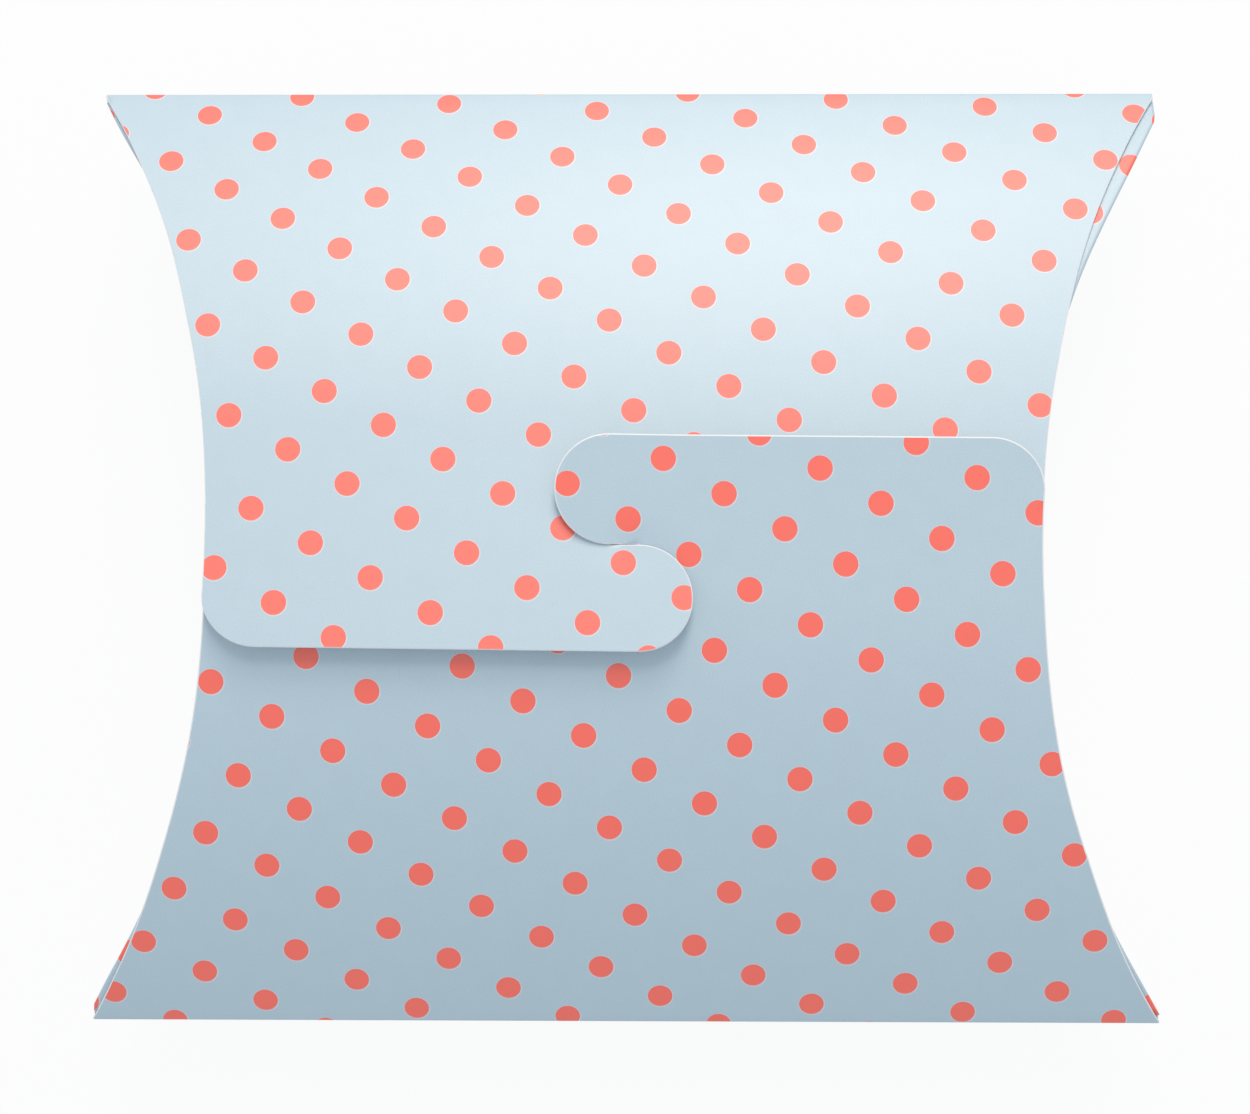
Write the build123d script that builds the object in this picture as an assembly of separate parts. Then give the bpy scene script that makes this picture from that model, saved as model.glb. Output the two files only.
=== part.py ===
from build123d import *
import os
from math import asin, cos, radians, sin

# A pillow box of thin printed card, closed and lying on its back.
# X runs along the folds, Y across them and Z up, and the origin is in the middle of
# its foot. One sheet of card makes it: the back panel bends up at a fold into each
# of two front flaps, and along a curved crease into each of two end flaps. The front
# flaps meet in an S-shaped lock, where each one has a tongue that lies on the other.

# The closed box
corner_length = 130.0  # from corner to corner, along the folds
fold_height = 114.0  # from the outside of the top fold to that of the bottom fold
upper_rise = 15.3  # from the plane of the folds up to the crown of the upper flap's curve
lower_rise = 15.8  # the same for the lower flap, which lies a little fuller
back_drop = 15.8  # from the plane of the folds down to the foot
end_scoop = 16.1  # how far each end curves in at its middle
foot_width = 12.0  # the strip along the back that the box rests on

# The card and its creases
card = 0.35  # thickness
fold_radius = 0.5  # outside radius of the card where it is folded
fold_gap = 0.06  # free space beside a folded strip, where a flap turns about it
crease_width = 0.8  # the pressed strip along a curved crease
end_flap_gap = 0.45  # from that strip up to the end flap's edge
layer_gap = 0.3  # free space between two layers of card
corner_relief = 1.5  # how far an end flap stops short of a fold's middle line

# The lock
lock_height = 0.05  # the middle of the S, above the box's middle line
lock_offset = 1.75  # from the middle of the S to the middle of each round hook
lock_gap = 0.3  # free space along the S
left_tongue_reach = 12.5  # from the middle line down to the left tongue's edge
right_tongue_reach = 12.8  # from the middle line up to the right tongue's edge
tongue_corner = 6.2  # radius of each tongue's outer corner
tuck_back = 6.5  # where the part under the other flap's tongue ends
left_tongue_slope = 7.5  # degrees, where the left tongue leaves the curve
right_tongue_slope = 3.0  # degrees, where the right tongue leaves the curve
left_hook_lift = 0.3  # how far the end of the left hook stands up
right_hook_lift = 1.2  # how far the end of the right hook stands up

overrun = 5.0  # how far a cutting shape runs past what it cuts

# Places worked out from those sizes
half_length = corner_length / 2
half_chord = fold_height / 2 - fold_radius  # from the middle to a fold's middle line
fold_level = back_drop
waist = half_length - end_scoop
scoop_radius = (half_chord**2 + end_scoop**2) / (2 * end_scoop)
upper_crown = upper_rise - fold_radius
lower_crown = lower_rise - fold_radius
side_reach = half_length + overrun
fold_reach = half_chord + overrun
total_reach = fold_level + lower_rise + 2 * overrun
left_tongue_edge = -left_tongue_reach
lock_top = lock_height + lock_gap / 2
lock_bottom = lock_height - lock_gap / 2
left_hook_radius = (lock_bottom - left_tongue_edge) / 2
right_hook_radius = (right_tongue_reach - lock_top) / 2
left_hook_start = -lock_offset - right_hook_radius - lock_gap
right_hook_start = lock_offset + left_hook_radius + lock_gap


def write(node, shape):
    """Writes one node's solid to the file of its name."""
    shape.label = node
    export_step(shape, os.path.join("parts", node + ".step"))


def patch(left, right, low, high):
    """A rectangle on the plan, from its four sides."""
    return Pos((left + right) / 2, (low + high) / 2) * Rectangle(right - left, high - low)


def upright(plan):
    """The column of space over a shape on the plan, from under the box to above it."""
    return Pos(0, 0, -overrun) * extrude(plan, total_reach)


def along(section):
    """The bar of space through the box whose end is a section in the YZ plane."""
    return Pos(-side_reach, 0, 0) * extrude(Plane.YZ * section, 2 * side_reach)


def bend_radius(rise):
    """Radius of the curve that rises by this much between the two folds."""
    return (half_chord**2 + rise**2) / (2 * rise)


def flap_corners(side, rise, slope, reach):
    """The corners of a front flap's section: out along the top, back underneath.

    The card curves from the fold until its slope has come down to the one given, and
    then runs straight on, to the reach past the middle line. Side is 1 for the upper
    flap and -1 for the lower one.
    """
    radius = bend_radius(rise)
    centre = fold_level + rise - radius
    start = asin(half_chord / radius) - (fold_radius + fold_gap) / radius
    end = radians(slope)
    run = (radius * sin(end) + reach) / cos(end)

    def on_curve(angle, offset):
        out = radius + offset
        return (side * out * sin(angle), centre + out * cos(angle))

    def along_run(offset):
        y, z = on_curve(end, offset)
        return (y - side * run * cos(end), z + run * sin(end))

    outside, inside = fold_radius, fold_radius - card
    halfway = (start + end) / 2
    top = [on_curve(angle, outside) for angle in (start, halfway, end)]
    under = [on_curve(angle, inside) for angle in (end, halfway, start)]
    return top + [along_run(outside), along_run(inside)] + under


def flap_sheet(corners):
    """The whole curved sheet of a front flap, before its outline is cut."""
    a, b, c, d, e, f, g, h = corners
    edges = [ThreePointArc(a, b, c), Line(c, d), Line(d, e)]
    edges += [Line(e, f), ThreePointArc(f, g, h), Line(h, a)]
    section = make_face(edges)
    return Pos(-half_length, 0, 0) * extrude(Plane.YZ * section, corner_length)


def hook_sheet(start, tip, corners, lift):
    """The flat sheet of a tongue's hook, which stands up a little towards its tip."""
    run = corners[2:6]
    low = Wire.make_polygon([Vector(start, y, z) for y, z in run])
    high = Wire.make_polygon([Vector(tip, y, z + lift) for y, z in run])
    return Solid.make_loft([low, high], ruled=True)


def back_edge(side, offset):
    """The curve of the back on one side, with both of its ends."""
    half_foot = foot_width / 2
    span = half_chord - half_foot
    drop = back_drop - fold_radius
    radius = (span**2 + drop**2) / (2 * drop)
    end = asin(span / radius)
    out = radius + offset
    centre = fold_level - drop + radius

    def on_curve(angle):
        return (side * (half_foot + out * sin(angle)), centre - out * cos(angle))

    return [on_curve(angle) for angle in (end, end / 2, 0)]


def back_space(offset):
    """All that lies above the back's curve and below the plane of the folds."""
    left, right = back_edge(-1, offset), back_edge(1, offset)
    edges = [ThreePointArc(*left), Line(left[-1], right[-1]), ThreePointArc(*right[::-1])]
    edges.append(Line(right[0], left[0]))
    return make_face(edges)


def front_space(rise, offset):
    """All that lies below a front curve and above the plane of the folds."""
    radius = bend_radius(rise)
    disc = Pos(0, fold_level + rise - radius) * Circle(radius + offset)
    return disc & patch(-fold_reach, fold_reach, fold_level, fold_level + total_reach)


def scoop(inset):
    """The two round ends that are cut out of the plan, an inset further in."""
    centre = waist + scoop_radius
    ends = Circle(scoop_radius + inset)
    return Pos(centre, 0) * ends + Pos(-centre, 0) * ends


def end_band(side, width):
    """The curved strip on the plan just inside one end."""
    half = half_chord - corner_relief
    left, right = sorted((0, side * side_reach))
    return (scoop(width) - scoop(0)) & patch(left, right, -half, half)


def fold_strip(side):
    """The folded strip of card between the back and a front flap."""
    section = Pos(side * half_chord, fold_level) * Circle(fold_radius)
    return Pos(-half_length, 0, 0) * extrude(Plane.YZ * section, corner_length)


def back_panel():
    """The curved back, with its flat foot, between the two folds."""
    section = back_space(fold_radius) - back_space(fold_radius - card)
    for side in (-1, 1):
        section -= Pos(side * half_chord, fold_level) * Circle(fold_radius + fold_gap)
    section &= patch(-half_chord, half_chord, 0, fold_level)
    plan = patch(-side_reach, side_reach, -fold_reach, fold_reach) - scoop(crease_width)
    return along(section) & upright(plan)


def end_crease(side):
    """The pressed strip between the back and an end flap."""
    section = back_space(fold_radius) - back_space(fold_radius - crease_width)
    return along(section) & upright(end_band(side, crease_width))


def end_flap(side):
    """The end wall, which stands on its crease and stops under the front flaps."""
    below = back_space(fold_radius - crease_width - end_flap_gap)
    above = front_space(upper_crown, fold_radius - card - layer_gap)
    return along(below + above) & upright(end_band(side, card))


# The plan of each front flap, with its tongue, hook and tucked part
left_hook = Pos(lock_offset, lock_bottom - left_hook_radius) * Circle(left_hook_radius)
right_hook = Pos(-lock_offset, lock_top + right_hook_radius) * Circle(right_hook_radius)
upper_plan = patch(-side_reach, lock_offset, left_tongue_edge, lock_bottom) + left_hook
upper_plan += patch(-side_reach, -lock_offset, lock_bottom, fold_reach)
upper_plan += patch(-lock_offset, side_reach, tuck_back, fold_reach)
lower_plan = patch(-lock_offset, side_reach, lock_top, right_tongue_reach) + right_hook
lower_plan += patch(lock_offset, side_reach, -fold_reach, lock_top)
lower_plan += patch(-side_reach, lock_offset, -fold_reach, -tuck_back)


def outer_corner(plan, x, y):
    """The same plan with the tongue's corner nearest to a place rounded."""
    cut = plan - scoop(0)
    near = cut.vertices().sort_by_distance((x, y, 0))[0]
    return fillet(near, tongue_corner)


upper_plan = outer_corner(upper_plan, -waist, left_tongue_edge)
lower_plan = outer_corner(lower_plan, waist, right_tongue_reach)

# Where each plan is parted into the flap and its hook
left_hook_area = patch(left_hook_start, side_reach, -fold_reach, lock_bottom)
right_hook_area = patch(-side_reach, right_hook_start, lock_top, fold_reach)

# The section of each flap, and the sheets of the flaps and their hooks
upper_corners = flap_corners(1, upper_crown, left_tongue_slope, left_tongue_reach + overrun)
lower_corners = flap_corners(-1, lower_crown, right_tongue_slope, right_tongue_reach + overrun)
upper_sheet = flap_sheet(upper_corners)
lower_sheet = flap_sheet(lower_corners)
left_tip = lock_offset + left_hook_radius
right_tip = -lock_offset - right_hook_radius
left_hook_sheet = hook_sheet(left_hook_start, left_tip, upper_corners, left_hook_lift)
right_hook_sheet = hook_sheet(right_hook_start, right_tip, lower_corners, right_hook_lift)

os.makedirs("parts", exist_ok=True)
write("back_panel", back_panel())
write("top_fold", fold_strip(1))
write("bottom_fold", fold_strip(-1))
write("left_crease", end_crease(-1))
write("right_crease", end_crease(1))
write("left_end_flap", end_flap(-1))
write("right_end_flap", end_flap(1))
write("upper_front_flap", upper_sheet & upright(upper_plan - left_hook_area))
write("lower_front_flap", lower_sheet & upright(lower_plan - right_hook_area))
write("left_tongue_hook", left_hook_sheet & upright(upper_plan & left_hook_area))
write("right_tongue_hook", right_hook_sheet & upright(lower_plan & right_hook_area))
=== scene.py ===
# %% [markdown]
# A pillow box of printed card, in Blender.
# The real thing is one die-cut sheet of thin card. It was printed flat with polka dots,
# creased, and folded shut: a back panel, two end flaps that stand on curved creases, and
# two front flaps whose tongues slide over each other in an S-shaped lock.
# The construction is already fixed, so the first step loads it as a frame and notes its
# size. Everything after that is card that is drawn around this frame.

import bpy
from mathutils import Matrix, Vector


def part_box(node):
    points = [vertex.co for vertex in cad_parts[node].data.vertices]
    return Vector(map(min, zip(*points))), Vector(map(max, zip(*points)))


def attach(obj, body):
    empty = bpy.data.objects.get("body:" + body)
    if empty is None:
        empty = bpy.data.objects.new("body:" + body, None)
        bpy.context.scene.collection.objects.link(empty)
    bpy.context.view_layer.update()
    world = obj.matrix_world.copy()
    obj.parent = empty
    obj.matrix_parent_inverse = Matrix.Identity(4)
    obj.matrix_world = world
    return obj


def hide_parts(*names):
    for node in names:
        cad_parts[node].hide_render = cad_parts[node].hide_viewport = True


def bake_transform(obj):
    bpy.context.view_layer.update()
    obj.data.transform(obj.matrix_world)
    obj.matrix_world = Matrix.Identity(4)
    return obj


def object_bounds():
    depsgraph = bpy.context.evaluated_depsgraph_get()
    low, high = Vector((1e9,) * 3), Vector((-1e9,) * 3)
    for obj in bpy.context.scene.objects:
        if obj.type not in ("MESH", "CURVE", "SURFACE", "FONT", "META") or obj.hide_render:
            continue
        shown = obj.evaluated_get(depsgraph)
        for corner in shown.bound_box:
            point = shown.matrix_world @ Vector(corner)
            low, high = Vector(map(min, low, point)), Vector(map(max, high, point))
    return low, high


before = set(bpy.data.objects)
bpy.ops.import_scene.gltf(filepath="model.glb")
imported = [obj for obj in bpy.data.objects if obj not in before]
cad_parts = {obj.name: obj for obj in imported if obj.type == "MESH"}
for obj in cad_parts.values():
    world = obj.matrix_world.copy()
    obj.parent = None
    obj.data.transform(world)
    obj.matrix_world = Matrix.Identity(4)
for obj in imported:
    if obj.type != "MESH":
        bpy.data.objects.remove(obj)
cad_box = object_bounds()

# %% Imports
from math import asin, atan2, cos, pi, radians, sin, sqrt

import bmesh
import bpy
from mathutils import Matrix, Vector

print("Blender", bpy.app.version_string)

# %% [markdown]
# Card is made in millimetres and its folds are arcs, so the sizes of the real sheet come
# first. What the frame can tell is read from it: the corners, the folds and their level.
# The two front flaps are not alike. The lower one lies fuller, and the upper one runs
# straighter, so that its tongue stands clear of the card under it.

# %% Sizes of the folded sheet, in millimetres
mm = 0.001
close = 1e-3
half_length = cad_box[1].x / mm
half_height = cad_box[1].y / mm
card = 0.35
fold_radius = 0.5
half_chord = half_height - fold_radius
fold_level = (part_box("top_fold")[0].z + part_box("top_fold")[1].z) / 2 / mm
end_scoop = 16.1
waist = half_length - end_scoop
scoop_radius = (half_chord**2 + end_scoop**2) / (2 * end_scoop)
half_foot = 6.0
print("corner", half_length, "fold", half_height, "level", round(fold_level, 2), "waist", waist)


def arc_radius(chord, rise):
    """Radius of the arc that rises by this much over half a chord."""
    return (chord**2 + rise**2) / (2 * rise)


def smooth(value):
    """A step from 0 to 1 with soft ends."""
    share = min(1.0, max(0.0, value))
    return share * share * (3 - 2 * share)


def bump(value, middle, reach):
    """A soft hump of height 1 that dies away at its reach."""
    share = min(1.0, abs(value - middle) / reach)
    return (1 - share * share) ** 2


# %% [markdown]
# The back of the box is a flat foot with an arc up to each fold. Seen from the end, it is
# the lower half of a lens. The function gives the height of its printed side, and the
# distance along the card from the middle of the foot, which the print needs later.

# %% The back's curve
back_drop = fold_level - fold_radius
back_mid_radius = arc_radius(half_chord - half_foot, back_drop)
back_radius = back_mid_radius + fold_radius
back_slope = asin((half_chord - half_foot) / back_mid_radius)
back_centre = fold_level - back_drop + back_mid_radius


def back_height(y):
    """Height of the back's printed side."""
    out = max(0.0, abs(y) - half_foot)
    return back_centre - sqrt(back_radius**2 - out**2)


def back_distance(y):
    """Distance along the card from the middle of the foot."""
    out = abs(y) - half_foot
    if out <= 0:
        return abs(y)
    return half_foot + back_radius * asin(min(1.0, out / back_radius))


half_back = half_foot + back_radius * back_slope + fold_radius * (pi / 2 - back_slope)
print("slope at the fold", round(back_slope, 3), "card round the back", round(2 * half_back, 2))

# %% [markdown]
# A front flap starts at its fold on an arc and ends in a straight run, where its tongue
# leaves the curve. Both flaps are drawn the same way in a frame of their own, where the
# flap's fold is at the top. The lower flap's frame is the box's, turned by half a turn.
# A flap's numbers say how it differs: how high it rises, how steeply its tongue runs on,
# how far the tongue reaches and how askew its edge is, where its lock, hook and slot are,
# how far the hook stands up, how wide the cut edge shows, and one dot that its print turns
# about.


# %% The front flaps' curve
class Flap:
    """One front flap in its own frame: t runs from the middle line towards its fold."""

    def __init__(self, name, turn, rise, slope, reach, skew, lock, hook, slot, lift, edge, dot):
        self.name, self.turn, self.reach, self.skew = name, turn, reach, skew
        self.lock, self.hook, self.slot, self.lift, self.edge = lock, hook, slot, lift, edge
        middle = arc_radius(half_chord, rise - fold_radius)
        self.radius = middle + fold_radius
        self.centre = fold_level + rise - fold_radius - middle
        self.fold_slope = asin(half_chord / middle)
        self.slope = radians(slope)
        self.leave = self.radius * sin(self.slope)
        self.leave_height = self.centre + self.radius * cos(self.slope)
        self.start = half_chord + fold_radius * sin(self.fold_slope)
        self.before_arc = fold_radius * (pi / 2 - self.fold_slope)
        self.tongue_height = self.height(-reach)
        self.middle_dot, self.print_skew = dot, print_skew * turn

    def height(self, t):
        """Height of the printed side."""
        if t > self.leave:
            return self.centre + sqrt(self.radius**2 - t**2)
        return self.leave_height + (self.leave - t) * sin(self.slope) / cos(self.slope)

    def distance(self, t):
        """Distance along the card from the outermost line of the fold."""
        if t > self.leave:
            return self.before_arc + self.radius * (self.fold_slope - asin(t / self.radius))
        arc = self.radius * (self.fold_slope - self.slope)
        return self.before_arc + arc + (self.leave - t) / cos(self.slope)


print_skew = radians(0.1)
lock_height = 0.05
lock_gap = 0.04
tuck_back = 6.5
tongue_corner = 6.2
left_hook, right_hook = 1.6, 1.85
upper = Flap(
    "upper", turn=1, rise=15.3, slope=7.5, reach=12.5, skew=0.0107,
    lock=lock_height - lock_gap / 2, hook=left_hook, slot=right_hook, lift=0.25,
    edge=0.11, dot=(-10.3, -46.7),
)
lower = Flap(
    "lower", turn=-1, rise=15.8, slope=3.0, reach=13.0, skew=0.0073,
    lock=-lock_height - lock_gap / 2, hook=right_hook, slot=left_hook, lift=1.0,
    edge=0.16, dot=(4.4, 191.2),
)
for flap in (upper, lower):
    print(flap.name, "radius", round(flap.radius, 1), "tongue at", round(flap.tongue_height, 2))

# %% [markdown]
# The ends are cut as a circular scoop, but this box was folded by hand and lies a little
# skewed. At the corners a sliver of the end flap shows beyond the cut side of the front
# flap, widest at two opposite ones. So the crease and the cut side each follow the scoop
# with a few soft departures of their own, and the sliver has its widths: each entry is a
# place along Y, how far the departure reaches and its depth, in millimetres.


# %% The scooped ends
def scoop(y):
    """Distance of the plain circular scoop from the middle of the box."""
    return waist + scoop_radius - sqrt(scoop_radius**2 - min(abs(y), half_height) ** 2)


crease_departures = {
    "right": [(50.0, 20.0, 1.2), (-34.0, 26.0, -0.7)],
    "left": [(-53.0, 14.0, 0.6), (40.0, 18.0, -0.4)],
}
cut_departures = {
    "right": [
        (54.0, 8.0, -0.1), (40.0, 18.0, -0.32), (4.0, 40.0, -0.15),
        (-30.0, 26.0, -0.75), (-52.0, 16.0, -0.72),
    ],
    "left": [
        (54.0, 10.0, -0.2), (41.0, 15.0, -0.42), (0.0, 24.0, 0.4),
        (-48.0, 14.0, -0.22), (-57.0, 6.0, -0.15),
    ],
}
sliver_widths = {
    "right": [(49.0, 24.0, 2.05), (-54.0, 12.0, 0.72)],
    "left": [(52.5, 8.0, 0.56), (-55.0, 15.0, 0.95)],
}
corner_trim = 0.05
behind_cut = 0.12
sliver_start = 0.2


def departure(table, side, y):
    """How far an edge lies outside the plain scoop."""
    name = "right" if side > 0 else "left"
    return sum(depth * bump(y, middle, reach) for middle, reach, depth in table[name])


def crease_edge(side, y):
    """Distance of the curved crease from the middle of the box."""
    return min(half_length - corner_trim, scoop(y) + departure(crease_departures, side, y))


def cut_edge(side, y):
    """Distance of a front flap's cut side from the middle of the box."""
    edge = scoop(y) + departure(cut_departures, side, y)
    return min(edge, half_length - 2 * corner_trim)


def outer_edge(side, y):
    """Distance of the end wall's outermost line from the middle of the box."""
    sliver = departure(sliver_widths, side, y)
    edge = cut_edge(side, y) - behind_cut * (1 - smooth(sliver / sliver_start)) + sliver
    return min(edge, half_length - corner_trim)


for side in (-1, 1):
    print("end", side, [round(cut_edge(side, y), 2) for y in (-50, -25, 0, 25, 50)])

# %% [markdown]
# The print was made on the flat sheet before it was folded, so each piece of card carries
# a UV map named sheet with the place of every point on the flat sheet, in millimetres.
# It runs without a break from the upper flap over the top fold, round the back and over
# the bottom fold to the lower flap. Its zero is the outermost line of the top fold.

# %% Places on the flat sheet
print_round_back = 121.07
back_share = print_round_back / (2 * half_back)
print("print round the back", print_round_back, "share", round(back_share, 4))


def back_print(y):
    """Place along the sheet of a point of the back."""
    return print_round_back / 2 - (1 if y > 0 else -1) * back_distance(y) * back_share


def flap_print(flap, distance):
    """Place along the sheet of a point of a flap, from its distance past the fold."""
    if distance < 0:
        distance *= back_share
    return -distance if flap.turn > 0 else print_round_back + distance


def write_print(bm, place):
    """Writes the sheet map of a mesh that holds one skin of card."""
    layer = bm.loops.layers.uv.new("sheet")
    for face in bm.faces:
        for corner in face.loops:
            corner[layer].uv = place(corner.vert)


def skew_print(sheet, middle, turn):
    """A place on the sheet, turned a little about a middle."""
    across, along = sheet[0] - middle[0], sheet[1] - middle[1]
    return (
        middle[0] + across * cos(turn) - along * sin(turn),
        middle[1] + across * sin(turn) + along * cos(turn),
    )


# %% [markdown]
# Now the materials. Each colour is written as a hex value, as a colour picker gives it,
# so one function turns it to the linear values that Blender works in. A second small
# function adds a node with its settings and links, which keeps the trees readable.


# %% Two helpers for materials
def colour(hex_value):
    """An sRGB hex colour as a linear one."""
    parts = [int(hex_value[i:i + 2], 16) / 255 for i in (1, 3, 5)]
    linear = [c / 12.92 if c <= 0.04045 else ((c + 0.055) / 1.055) ** 2.4 for c in parts]
    return (*linear, 1.0)


def add(tree, kind, inputs=None, **settings):
    """Adds a node. An input is a value, or the output of another node."""
    made = tree.nodes.new(kind)
    for name, value in settings.items():
        setattr(made, name, value)
    for name, value in (inputs or {}).items():
        if isinstance(value, bpy.types.NodeSocket):
            tree.links.new(value, made.inputs[name])
        else:
            made.inputs[name].default_value = value
    return made


def new_material(name):
    """An empty node material with its output."""
    material = bpy.data.materials.new(name)
    material.use_nodes = True
    material.node_tree.nodes.clear()
    return material, add(material.node_tree, "ShaderNodeOutputMaterial")


print("mid grey is", round(colour("#808080")[0], 3), "in linear light")


# %% [markdown]
# The dots stand on a square grid that is turned by 30 degrees. A Voronoi texture with no
# randomness is such a grid: its distance is that from the nearest grid point, so a dot is
# all that lies nearer than its radius. The sheet map goes in, in millimetres, and a Mapping
# node turns it and brings one known dot onto a grid point.

# %% Dots of the print
pitch = 8.2
dot_radius = 1.49
dot_edge = 0.07
halo_width = 0.085
halo_shift = (0.035, -0.055)
print_turn = radians(30.1)
first_dot = (-10.29, -46.70)


def dot_distance(tree, sheet, shift):
    """Distance in millimetres from the nearest dot's middle, for dots moved by a shift."""
    across, up = first_dot[0] + shift[0], first_dot[1] + shift[1]
    turned = Matrix.Rotation(print_turn, 2) @ Vector((across, up)) / pitch
    grid = add(tree, "ShaderNodeMapping", {
        "Vector": sheet,
        "Location": (-turned.x, -turned.y, 0),
        "Rotation": (0, 0, print_turn),
        "Scale": (1 / pitch, 1 / pitch, 1 / pitch),
    })
    cells = add(tree, "ShaderNodeTexVoronoi", {
        "Vector": grid.outputs["Vector"],
        "Scale": 1.0,
        "Randomness": 0.0,
    }, voronoi_dimensions="2D", feature="F1")
    return cells


def inside_circle(tree, distance, radius, edge):
    """1 inside a circle and 0 outside, with a soft edge. Sizes are in millimetres."""
    return add(tree, "ShaderNodeMapRange", {
        "Value": distance,
        "From Min": (radius + edge / 2) / pitch,
        "From Max": (radius - edge / 2) / pitch,
    }, interpolation_type="SMOOTHSTEP").outputs["Result"]


print("dots cover", round(100 * pi * dot_radius**2 / pitch**2, 1), "% of the card")

# %% [markdown]
# The card is bleached folding boxboard, offset printed in two inks: pale blue all over,
# and coral dots. A satin varnish lies over the inks: it has no clear reflections, but where
# the card tilts towards the light it gives a wide white sheen that pales both inks, so the
# inks are written a little deeper than they look there. The varnish has a higher IOR than
# plain card, because its sheen is as strong as that. There is also a fine grain of paper
# and print, and a hair of unprinted white round each dot. The grain of real board is finer
# than this one, which is drawn just coarse enough to show.

# %% Printed card
dot_spread = 0.025
dot_wobble = 0.006
grain_size = 0.16
fibre_stretch = 9.0
mottle_size = 3.5
grain_relief = 0.02


def printed_card():
    """Satin varnished boxboard with its polka dots."""
    material, output = new_material("boxboard_offset_printed_satin_varnish")
    tree = material.node_tree
    sheet = add(tree, "ShaderNodeUVMap", uv_map="sheet").outputs["UV"]

    def noise(size, detail, stretch=(1, 1)):
        """Noise whose features have a size in millimetres."""
        scaled = add(tree, "ShaderNodeMapping", {
            "Vector": sheet,
            "Scale": (1 / (size * stretch[0]), 1 / (size * stretch[1]), 1),
        })
        return add(tree, "ShaderNodeTexNoise", {
            "Vector": scaled.outputs["Vector"],
            "Scale": 1.0,
            "Detail": detail,
            "Roughness": 0.6,
        }, noise_dimensions="2D").outputs["Fac"]

    grain = noise(grain_size, 2.0)
    across = noise(grain_size, 1.0, (fibre_stretch, 1.0))
    along = noise(grain_size, 1.0, (1.0, fibre_stretch))
    mottle = noise(mottle_size, 3.0)
    weave = add(tree, "ShaderNodeMath", {0: across, 1: along}, operation="ADD").outputs[0]

    halo = dot_distance(tree, sheet, halo_shift)
    dots = dot_distance(tree, sheet, (0.0, 0.0))
    wobble = add(tree, "ShaderNodeMath", {
        0: grain, 1: dot_wobble, 2: dots.outputs["Distance"],
    }, operation="MULTIPLY_ADD").outputs[0]
    white = inside_circle(tree, halo.outputs["Distance"], dot_radius + halo_width, dot_edge)
    coral = inside_circle(tree, wobble, dot_radius + dot_spread, dot_edge)

    ground = add(tree, "ShaderNodeMix", {
        "Factor": white, "A": colour("#b5ccd9"), "B": colour("#d2dde4"),
    }, data_type="RGBA")
    inked = add(tree, "ShaderNodeMix", {
        "Factor": coral, "A": ground.outputs["Result"], "B": colour("#ff573e"),
    }, data_type="RGBA")

    def shade(value, low, high):
        """A factor close to 1 from a noise."""
        return add(tree, "ShaderNodeMapRange", {
            "Value": value, "From Min": 0.25, "From Max": 0.75, "To Min": low, "To Max": high,
        }).outputs["Result"]

    tone = add(tree, "ShaderNodeMath", {
        0: shade(grain, 0.94, 1.06), 1: shade(mottle, 0.985, 1.015),
    }, operation="MULTIPLY").outputs[0]
    tone = add(tree, "ShaderNodeMath", {
        0: tone, 1: shade(weave, 0.99, 1.01),
    }, operation="MULTIPLY").outputs[0]
    toned = add(tree, "ShaderNodeVectorMath", {
        0: inked.outputs["Result"], "Scale": tone,
    }, operation="SCALE").outputs["Vector"]

    relief = add(tree, "ShaderNodeBump", {
        "Height": grain, "Strength": 0.12, "Distance": grain_relief * mm,
    })
    surface = add(tree, "ShaderNodeBsdfPrincipled", {
        "Base Color": toned,
        "Roughness": 0.5,
        "IOR": 1.7,
        "Specular IOR Level": 1.0,
        "Normal": relief.outputs["Normal"],
    })
    tree.links.new(surface.outputs["BSDF"], output.inputs["Surface"])
    return material


card_print = printed_card()
print(card_print.name, "has", len(card_print.node_tree.nodes), "nodes")

# %% [markdown]
# Where the die cut through the card, its white core shows as a thin line, because the
# knife presses the edge a little round. The inside of the box is the uncoated back of the
# board: also white, but rougher and a shade greyer, with short fibres.


# %% White core and unprinted inside
fibre_relief = 0.03


def white_card(name, hex_value, roughness, fibre):
    """Unprinted board, with fibres of a size in millimetres."""
    material, output = new_material(name)
    tree = material.node_tree
    place = add(tree, "ShaderNodeTexCoord").outputs["Object"]
    fibres = add(tree, "ShaderNodeTexNoise", {
        "Vector": place, "Scale": 1 / (fibre * mm), "Detail": 3.0, "Roughness": 0.65,
    }).outputs["Fac"]
    low, high = colour(hex_value), colour("#fbfbfb")
    tone = add(tree, "ShaderNodeMix", {
        "Factor": fibres, "A": low, "B": high,
    }, data_type="RGBA").outputs["Result"]
    relief = add(tree, "ShaderNodeBump", {
        "Height": fibres, "Strength": 0.25, "Distance": fibre_relief * mm,
    })
    surface = add(tree, "ShaderNodeBsdfPrincipled", {
        "Base Color": tone,
        "Roughness": roughness,
        "IOR": 1.5,
        "Normal": relief.outputs["Normal"],
    })
    tree.links.new(surface.outputs["BSDF"], output.inputs["Surface"])
    return material


materials = [
    card_print,
    white_card("boxboard_core_die_cut", "#ededf0", 0.7, 0.15),
    white_card("boxboard_back_uncoated", "#e4e4e2", 0.85, 0.4),
]
PRINT, CORE, INSIDE = range(3)
print("materials:", [m.name for m in materials])

# %% [markdown]
# Every piece is finished alike. A sheet that holds only the printed skin gets the card's
# thickness towards the inside. The skin that this adds is the white inside of the box, and
# the strip round the edge is the core. Then the mesh goes from millimetres to metres. A
# piece that bends strongly over its whole height keeps its thickness as a live modifier,
# which works on the bent skin, so that the two sides can't pass through each other.


# %% From one skin to a sheet of card
box_middle = Vector((0, 0, fold_level))
sharp_angle = radians(28)


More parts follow.
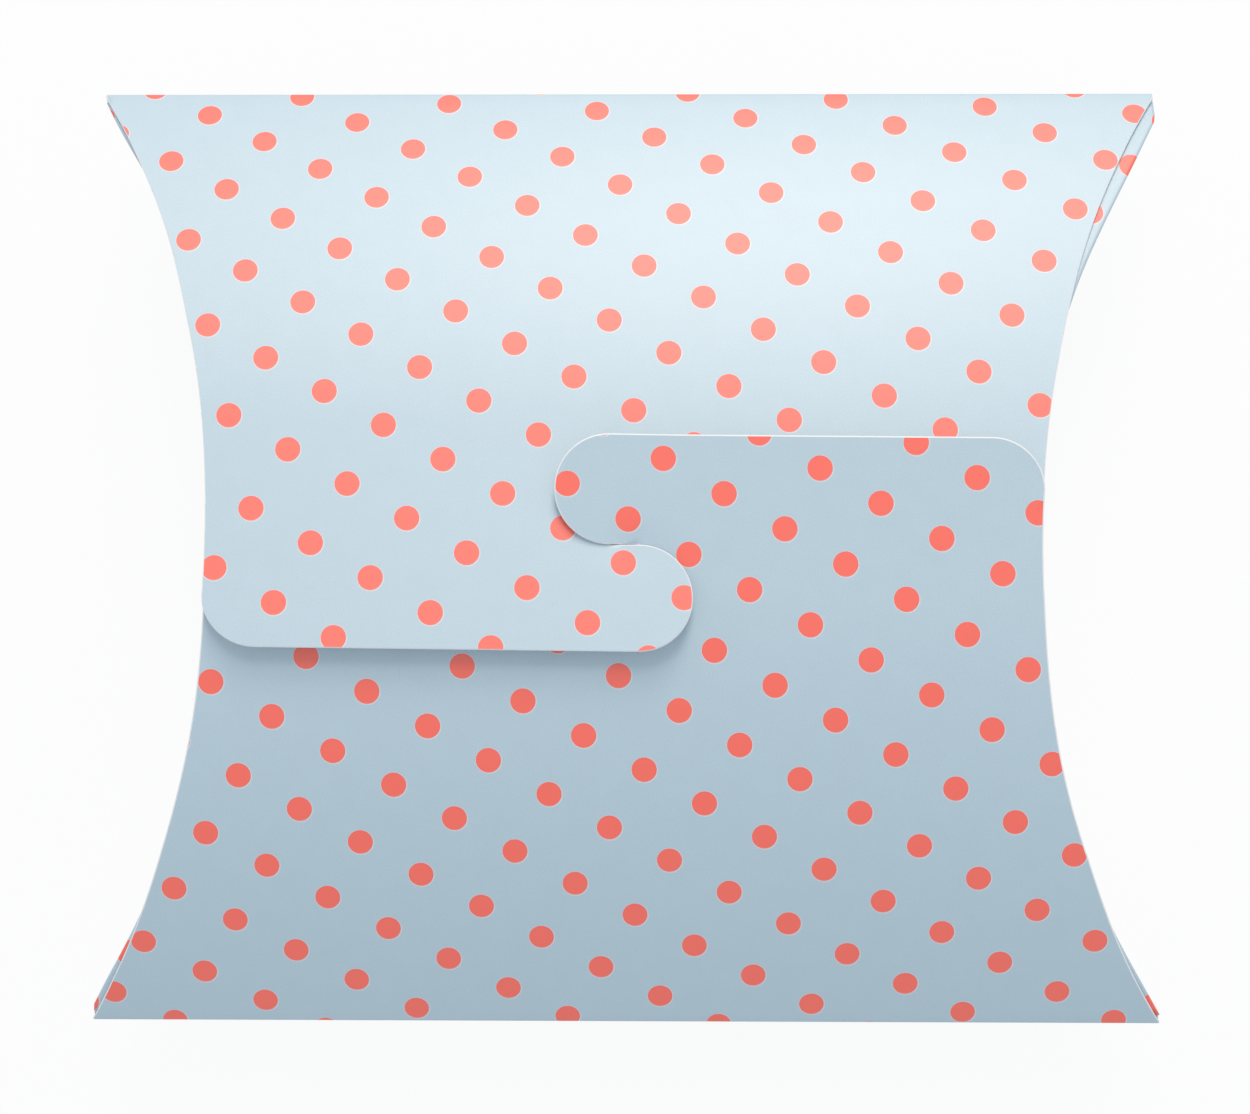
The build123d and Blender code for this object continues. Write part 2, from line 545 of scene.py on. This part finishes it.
def face_outward(bm):
    """Turns the skin over if it looks towards the middle of the box."""
    bm.normal_update()
    away = sum(f.normal.dot(f.calc_center_median() - box_middle) * f.calc_area() for f in bm.faces)
    if away < 0:
        bmesh.ops.reverse_faces(bm, faces=bm.faces[:])
        bm.normal_update()


def make_card(name, bm, bends=False):
    """Gives a printed skin its thickness and makes it an object."""
    face_outward(bm)
    outside = set(bm.faces)
    first = set(bm.verts)
    if not bends:
        bmesh.ops.solidify(bm, geom=bm.faces[:], thickness=card)
    for face in bm.faces:
        face.smooth = True
        if face not in outside:
            rim = any(v in first for v in face.verts)
            face.material_index = CORE if rim else INSIDE
    bmesh.ops.scale(bm, vec=(mm, mm, mm), verts=bm.verts)
    mesh = bpy.data.meshes.new(name)
    bm.to_mesh(mesh)
    bm.free()
    mesh.set_sharp_from_angle(angle=sharp_angle)
    for material in materials:
        mesh.materials.append(material)
    piece = bpy.data.objects.new(name, mesh)
    bpy.context.scene.collection.objects.link(piece)
    if bends:
        thickness = piece.modifiers.new("card", "SOLIDIFY")
        thickness.thickness = card * mm
        thickness.offset = -1.0
        thickness.material_offset = INSIDE
        thickness.material_offset_rim = CORE
    print(name, "faces", len(mesh.polygons), "size", [round(d / mm, 1) for d in piece.dimensions])
    return piece


# %% [markdown]
# The back panel is the simplest: a grid of quads that is narrowed row by row to the
# scooped ends and lowered onto the back's curve. It stops a little short of the creases
# and folds, because the strips of card beside them belong to the pieces that turn there.

# %% Back panel
lip = 1.2
fold_lip = 1.5
back_rows = 90
back_columns = 60
lip_edge = half_foot + back_radius * sin(back_slope - fold_lip / back_radius)


def make_back():
    """The curved back between its creases and folds."""
    bm = bmesh.new()
    bmesh.ops.create_grid(bm, x_segments=back_columns, y_segments=back_rows, size=1.0)
    for v in bm.verts:
        side = 1 if v.co.x > 0 else -1
        y = v.co.y * lip_edge
        x = v.co.x * (crease_edge(side, y) - lip)
        v.co = (x, y, back_height(y))
    write_print(bm, lambda v: (v.co.x, back_print(v.co.y)))
    return make_card("back_card", bm)


back_card = make_back()
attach(back_card, "back")
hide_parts("back_panel")

# %% [markdown]
# An end flap stands on its curved crease. Each of its cross sections starts under the
# back, turns up round the crease in a tight arc, rises to the side of the front flap above
# it and curves in under that flap. So it is a grid again, whose columns are the steps of
# that section. Near the corners the wall bulges out past the flap above, which is where
# its top shows as a sliver that lies almost level.

# %% The section of an end flap
crease_share = 0.3
bend_share = 0.4
arc_steps = 7
wall_steps = 16
top_steps = 5
strip_steps = 6
end_reach = half_chord - 0.5
under_flap = 0.25
top_bend = 0.42
tucked_in = 1.3
top_run = 11.0


def roof(side, y):
    """Height of the end flap's printed side where it lies under the front flaps."""
    over_left = smooth((y + tuck_back) / top_run)
    over_right = smooth((y - tuck_back + top_run) / top_run)
    share = over_right if side > 0 else over_left
    over = share * upper.height(y) + (1 - share) * lower.height(-y)
    return over - (card + under_flap) * sqrt(1 + (y / upper.radius) ** 2)


def end_section(side, y):
    """Points of the section: under the back, round the crease, up, and in at the top."""
    edge, low, top = crease_edge(side, y), back_height(y), roof(side, y)
    out = outer_edge(side, y)
    crease = min(fold_radius, crease_share * (top - low))
    bend = min(top_bend, bend_share * (top - low))
    lean = atan2(edge - out, top - low - bend)
    points = [(edge - lip, low)]
    for step in range(arc_steps + 1):
        angle = -pi / 2 + (lean + pi / 2) * step / arc_steps
        points.append((edge - crease + crease * cos(angle), low + crease + crease * sin(angle)))
    foot_x, foot_z = points[-1]
    turn = pi / 2 - lean
    top_x, top_z = out - bend + bend * cos(lean), top - bend + bend * sin(lean)
    for step in range(1, wall_steps + 1):
        share = step / wall_steps
        points.append((foot_x + (top_x - foot_x) * share, foot_z + (top_z - foot_z) * share))
    for step in range(1, top_steps + 1):
        angle = lean + turn * step / top_steps
        points.append((out - bend + bend * cos(angle), top - bend + bend * sin(angle)))
    inner = cut_edge(side, y) - tucked_in
    for step in range(1, strip_steps + 1):
        points.append((out - bend + (inner - out + bend) * step / strip_steps, top))
    return points


print("end wall in the middle:", [round(z, 1) for x, z in end_section(1, 0)][::9])


# %% [markdown]
# The crease is card that bends when the flap is opened. Each end piece is one sheet that runs from
# under the back, round the crease and up the wall, and the print runs on from the back over the
# crease and up the wall. Only the level sliver at the top takes its dots from where the photograph
# shows them: the place of each dot that shows there is noted, and the grid is laid through the
# nearest one, turned a little against the front's.

# %% End flaps
end_rows = 120
strip_turn = radians(9.0)
strip_dots = {
    "right": [(65.93, 53.14), (61.35, 47.11), (55.97, 40.86), (63.72, -54.7)],
    "left": [(-65.04, 53.79), (-60.13, -48.45), (-65.6, -54.58)],
}


def strip_print(side, face_middle, place):
    """Place on the sheet of a point of a sliver's face, from its place on the plan."""
    dots = strip_dots["right" if side > 0 else "left"]
    dot = min(dots, key=lambda d: (face_middle.x - d[0]) ** 2 + (face_middle.y - d[1]) ** 2)
    from_dot = (place[0] - dot[0] + first_dot[0], place[1] - dot[1] + first_dot[1])
    return skew_print(from_dot, first_dot, strip_turn)


def make_end(side, name):
    """One end flap with its crease."""
    bm = bmesh.new()
    steps = arc_steps + 1 + wall_steps + top_steps + strip_steps
    level_from = steps - strip_steps - top_steps
    bmesh.ops.create_grid(bm, x_segments=steps, y_segments=end_rows, size=1.0)
    column_of, wall_print = {}, {}
    for v in bm.verts:
        y = v.co.y * end_reach
        column = round((v.co.x + 1) / 2 * steps)
        points = end_section(side, y)
        run = sum(
            sqrt((b[0] - a[0]) ** 2 + (b[1] - a[1]) ** 2)
            for a, b in zip(points[:column], points[1:column + 1])
        )
        column_of[v] = column
        wall_print[v] = (side * (points[0][0] + run), back_print(y))
        v.co = (side * points[column][0], y, points[column][1])
    layer = bm.loops.layers.uv.new("sheet")
    for face in bm.faces:
        level = sum(column_of[v] for v in face.verts) / len(face.verts) > level_from
        middle = face.calc_center_median()
        for corner in face.loops:
            v = corner.vert
            corner[layer].uv = strip_print(side, middle, v.co) if level else wall_print[v]
    return make_card(name, bm, bends=True)


for side, name in ((-1, "left"), (1, "right")):
    end_card = make_end(side, name + "_end_card")
    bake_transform(end_card)
    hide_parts(name + "_end_flap", name + "_crease")

# %% [markdown]
# The front flaps are drawn on the plan, as the die cuts them. The outline needs only a few
# vertices: each round stretch is one vertex that is spun about the middle of its arc. The
# loop is then filled with one face. It runs a little past the fold, where it is cut later.

# %% The outline of a front flap
fold_margin = 1.0
side_steps, corner_steps, hook_steps, far_steps = 60, 14, 36, 50


def spin_arc(bm, vert, centre, angle, steps):
    """Spins a vertex about a point on the plan and returns the last vertex."""
    made = bmesh.ops.spin(
        bm, geom=[vert], cent=(*centre, 0), axis=(0, 0, 1), angle=angle, steps=steps
    )
    return next(g for g in made["geom_last"] if isinstance(g, bmesh.types.BMVert))


def draw_outline(bm, flap):
    """The flap's outline, filled with one face."""
    top = half_height + fold_margin
    scoop_middle = waist + scoop_radius

    def side_angle(t):
        """Angle of a place on the scoop, about the scoop's middle."""
        return asin(t / scoop_radius)

    corner_start = -flap.reach + tongue_corner
    left = bm.verts.new((-scoop(half_height), top, 0))
    side = bm.verts.new((-scoop(half_height), half_height, 0))
    turn = side_angle(corner_start) - side_angle(half_height)
    side_end = spin_arc(bm, side, (-scoop_middle, 0), turn, side_steps)
    corner = (side_end.co.x + tongue_corner, corner_start)
    corner_end = spin_arc(bm, side_end, corner, pi / 2, corner_steps)
    hook_radius = (flap.lock + flap.reach) / 2
    hook = bm.verts.new((flap.hook, -flap.reach, 0))
    hook_end = spin_arc(bm, hook, (flap.hook, flap.lock - hook_radius), pi, hook_steps)
    slot = bm.verts.new((-flap.slot, flap.lock, 0))
    tuck = bm.verts.new((-flap.slot, tuck_back, 0))
    far = bm.verts.new((scoop(tuck_back), tuck_back, 0))
    turn = side_angle(half_height) - side_angle(tuck_back)
    far_end = spin_arc(bm, far, (scoop_middle, 0), -turn, far_steps)
    right = bm.verts.new((scoop(half_height), top, 0))
    for a, b in ((left, side), (corner_end, hook), (hook_end, slot), (slot, tuck),
                 (tuck, far), (far_end, right), (right, left)):
        bm.edges.new((a, b))
    made = bmesh.ops.contextual_create(bm, geom=bm.edges[:])["faces"]
    bmesh.ops.recalc_face_normals(bm, faces=made)
    return made


print("hooks are", [round(flap.lock + flap.reach, 2) for flap in (upper, lower)], "wide")

# %% [markdown]
# One large face can't bend, so planes cut it into cells: rows across the curve, where the
# card bends most, and columns for the skew and the scooped sides. The same cut also clears
# what lies beyond the fold.

# %% Cutting the plan into cells
row_size = 1.5
column_size = 1.0


def cut_at(bm, place, direction, clear=False):
    """Cuts everything at a plane, and may clear what lies beyond it."""
    everything = bm.verts[:] + bm.edges[:] + bm.faces[:]
    bmesh.ops.bisect_plane(
        bm, geom=everything, plane_co=place, plane_no=direction, dist=1e-5, clear_outer=clear
    )


def cells(first, last, size):
    """Places between two limits, evenly spaced by about a size."""
    count = round((last - first) / size)
    return [first + (last - first) * i / count for i in range(1, count)]


print("a flap is cut into columns", column_size, "wide and rows", row_size, "deep")


# %% [markdown]
# Bending is then a formula on each vertex: the plan keeps its place, and the height comes
# from the flap's curve. The round hook at the tongue's end stands up a little, more for
# the lower flap, whose hook has to climb over the other one. The pressed edge drops by a
# tenth of a millimetre, and the cut sides take their departures from the plain scoop.

# %% Bending a front flap
edge_drop = 0.1
lift_from = 8.5
settle_run = 3.0
plain_half = 20


def hook_lift(flap, x, t):
    """How far the card stands up near the end of its hook."""
    radius = (flap.lock + flap.reach) / 2
    share = smooth((x + lift_from) / (flap.hook + radius + lift_from))
    free = smooth((x + flap.slot) / (flap.slot + flap.hook))
    settled = smooth((flap.lock - t) / settle_run)
    below_lock = 1 - smooth((t - flap.lock) / settle_run)
    return flap.lift * share * (free + (1 - free) * settled) * below_lock


def bend_flap(bm, flap):
    """Lifts the plan of a flap onto its curve."""

    def in_slot(v):
        """True on the short edge between the hook and the tucked part, which lies flat."""
        near = abs(v.co.x + flap.slot) < 2 * flap.edge
        return near and flap.lock - flap.edge < v.co.y < tuck_back + flap.edge

    margin = {v for v in bm.verts if v.is_boundary and v.co.y < flap.start - close}
    margin = {v for v in margin if not in_slot(v)}
    for v in bm.verts:
        x, t = v.co.x, v.co.y
        side = flap.turn * (1 if x > 0 else -1)
        shift = cut_edge(side, flap.turn * t) - scoop(t)
        shift *= smooth((abs(x) - plain_half) / (scoop(t) - plain_half))
        if t < flap.lock:
            t += flap.skew * (flap.hook - x) * smooth((flap.lock - t) / (flap.lock + flap.reach))
        x += shift if x > 0 else -shift
        height = flap.height(t) + hook_lift(flap, x, t)
        if v in margin:
            height -= edge_drop
        v.co = (x, t, height)


print("hooks stand up by", [flap.lift for flap in (upper, lower)])

# %% [markdown]
# At the fold the card is spun round its tight arc and a little onto the back, where its
# ends are drawn in to the scoop so that no corner looks out from under the box. Putting
# the steps together gives the piece. The inset of the drawn face, before it is cut, is the
# narrow strip that the knife presses round: there the white core shows.

# %% From the outline to a flap
fold_steps, lip_steps = 9, 2


def spin_fold(bm, flap):
    """Carries the card round the fold and a little onto the back."""
    fold = [e for e in bm.edges if all(abs(v.co.y - flap.start) < close for v in e.verts)]
    turn = pi - flap.fold_slope - back_slope
    middle = (0, half_chord, fold_level)
    for centre, angle, steps in (
        (middle, turn, fold_steps),
        ((0, half_foot, back_centre), fold_lip / back_radius, lip_steps),
    ):
        geometry = fold + list({v for e in fold for v in e.verts})
        made = bmesh.ops.spin(
            bm, geom=geometry, cent=centre, axis=(-1, 0, 0), angle=angle, steps=steps
        )
        fold = [g for g in made["geom_last"] if isinstance(g, bmesh.types.BMEdge)]


def trim_fold(bm, flap):
    """Narrows the strip on the back side of the fold to the scooped ends."""
    for v in bm.verts:
        if v.co.z < fold_level:
            side = flap.turn * (1 if v.co.x > 0 else -1)
            limit = crease_edge(side, flap.turn * v.co.y)
            v.co.x = max(-limit, min(limit, v.co.x))


def make_flap(flap):
    """A front flap with its tongue, hook and fold."""
    bm = bmesh.new()
    face = draw_outline(bm, flap)
    bmesh.ops.inset_region(bm, faces=face, thickness=flap.edge, use_boundary=True)
    for strip in bm.faces:
        strip.material_index = PRINT if strip in face else CORE
    cut_at(bm, (0, flap.start, 0), (0, 1, 0), clear=True)
    for t in cells(-flap.reach, flap.start, row_size):
        cut_at(bm, (0, t, 0), (0, 1, 0))
    for x in cells(-half_length, half_length, column_size):
        cut_at(bm, (x, 0, 0), (1, 0, 0))
    bend_flap(bm, flap)
    spin_fold(bm, flap)
    trim_fold(bm, flap)

    def place(v):
        """Place on the flat sheet."""
        if v.co.z > fold_level and v.co.y <= flap.start + close:
            along = flap.distance(v.co.y)
        elif v.co.y > half_chord:
            along = fold_radius * atan2(v.co.z - fold_level, v.co.y - half_chord)
        else:
            along = back_distance(v.co.y) - half_back
        sheet = (flap.turn * v.co.x, flap_print(flap, along))
        return skew_print(sheet, flap.middle_dot, flap.print_skew)

    write_print(bm, place)
    if flap.turn < 0:
        bmesh.ops.rotate(bm, matrix=Matrix.Rotation(pi, 3, "Z"), verts=bm.verts)
    return make_card(flap.name + "_flap_card", bm)


# %% Front flaps
for flap, fold_node, hook_node in (
    (upper, "top_fold", "left_tongue_hook"),
    (lower, "bottom_fold", "right_tongue_hook"),
):
    flap_card = make_flap(flap)
    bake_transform(flap_card)
    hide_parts(flap.name + "_front_flap", fold_node, hook_node)

# %% [markdown]
# The camera stands where the photograph was taken from: a third of a metre above the box,
# looking down almost squarely, with its own small tilt, yaw and roll. The three angles
# turn the box into the camera's view, so the camera takes the opposite turn.

# %% Camera
tilt, yaw, roll = radians(3.28), radians(0.79), radians(-0.08)
camera_distance = 326.9
aside = (0.273, 0.468)
focal_pixels = 2661.6
photo_width = 1250
sensor_width = 36.0

camera_data = bpy.data.cameras.new("camera")
camera_data.sensor_width = sensor_width
camera_data.lens = focal_pixels / photo_width * sensor_width
camera_data.clip_start = 0.01
camera = bpy.data.objects.new("camera", camera_data)
bpy.context.scene.collection.objects.link(camera)
turn = Matrix.Rotation(tilt, 3, "X") @ Matrix.Rotation(yaw, 3, "Y") @ Matrix.Rotation(-roll, 3, "Z")
place = turn @ Vector((-aside[0], -aside[1], camera_distance)) + Vector((0, 0, fold_level))
camera.matrix_world = Matrix.Translation(place * mm) @ turn.to_4x4()
bpy.context.scene.camera = camera
print("camera at", [round(c, 1) for c in place], "lens", round(camera_data.lens, 2))

# %% [markdown]
# The box lies on a plain white floor. A floor that is only lit would come out grey, so
# for the camera, and for what gloss and glass show, it is mostly as bright as white paper,
# and keeps a share of its lit side so that the box's soft shadow stays.


# %% Floor and world
def seen_directly(tree):
    """1 for what the camera sees itself, in gloss or through glass."""
    path = add(tree, "ShaderNodeLightPath").outputs
    either = add(tree, "ShaderNodeMath", {
        0: path["Is Camera Ray"], 1: path["Is Glossy Ray"],
    }, operation="MAXIMUM").outputs[0]
    return add(tree, "ShaderNodeMath", {
        0: either, 1: path["Is Transmission Ray"],
    }, operation="MAXIMUM").outputs[0]


white_share = 0.92


def white_floor():
    """Matt white paint, shown as bright as white."""
    material, output = new_material("white_matt_paint_rolled")
    tree = material.node_tree
    lit = add(tree, "ShaderNodeBsdfDiffuse", {"Color": colour("#f4f4f4")}).outputs[0]
    white = add(tree, "ShaderNodeEmission", {"Color": (1, 1, 1, 1), "Strength": 1.0}).outputs[0]
    share = add(tree, "ShaderNodeMath", {
        0: seen_directly(tree), 1: white_share,
    }, operation="MULTIPLY").outputs[0]
    mixed = add(tree, "ShaderNodeMixShader", {0: share, 1: lit, 2: white})
    tree.links.new(mixed.outputs[0], output.inputs["Surface"])
    return material


floor_half = 3.0
floor_drop = 0.05
bm = bmesh.new()
bmesh.ops.create_grid(bm, x_segments=1, y_segments=1, size=floor_half)
bmesh.ops.translate(bm, vec=(0, 0, -floor_drop * mm), verts=bm.verts)
floor_mesh = bpy.data.meshes.new("floor")
bm.to_mesh(floor_mesh)
bm.free()
floor_mesh.materials.append(white_floor())
floor = bpy.data.objects.new("floor", floor_mesh)
bpy.context.scene.collection.objects.link(floor)

sky_strength = 0.62
world = bpy.data.worlds.new("world")
world.use_nodes = True
bpy.context.scene.world = world
world.node_tree.nodes.clear()
sky = add(world.node_tree, "ShaderNodeBackground", {
    "Color": colour("#e9f5ff"), "Strength": sky_strength,
}).outputs[0]
plain = add(world.node_tree, "ShaderNodeBackground", {
    "Color": (1, 1, 1, 1), "Strength": 1.0,
}).outputs[0]
seen = add(world.node_tree, "ShaderNodeMixShader", {
    0: seen_directly(world.node_tree), 1: sky, 2: plain,
})
add(world.node_tree, "ShaderNodeOutputWorld", {"Surface": seen.outputs[0]})
print("floor", floor.dimensions[:2], "sky strength", sky_strength)

# %% [markdown]
# The light is two soft boxes beyond the top fold, a little to the right: a high one, whose
# sheen lies over the upper flap, and a lower one, so that the left tongue throws a short
# soft shadow. The card is brightest at the top and deeper in colour at the bottom. The sky
# fills in from all round.


# %% Lamps
warm_white = "#fff3e6"


def soft_box(name, place, size, watts):
    """A square area lamp that looks at the middle of the box."""
    data = bpy.data.lights.new(name, "AREA")
    data.shape = "SQUARE"
    data.size = size
    data.energy = watts
    data.color = colour(warm_white)[:3]
    lamp = bpy.data.objects.new(name, data)
    lamp.location = place
    lamp.rotation_euler = (-Vector(place)).to_track_quat("-Z", "Y").to_euler()
    bpy.context.scene.collection.objects.link(lamp)


soft_box("high_soft_box", (0.02, 0.49, 0.755), 0.25, 1.72)
soft_box("low_soft_box", (0.08, 0.728, 0.529), 0.3, 2.56)

# %% [markdown]
# The colours were chosen for a plain view transform, so it is set to Standard.

# %% Finish
bpy.context.scene.view_settings.view_transform = "Standard"
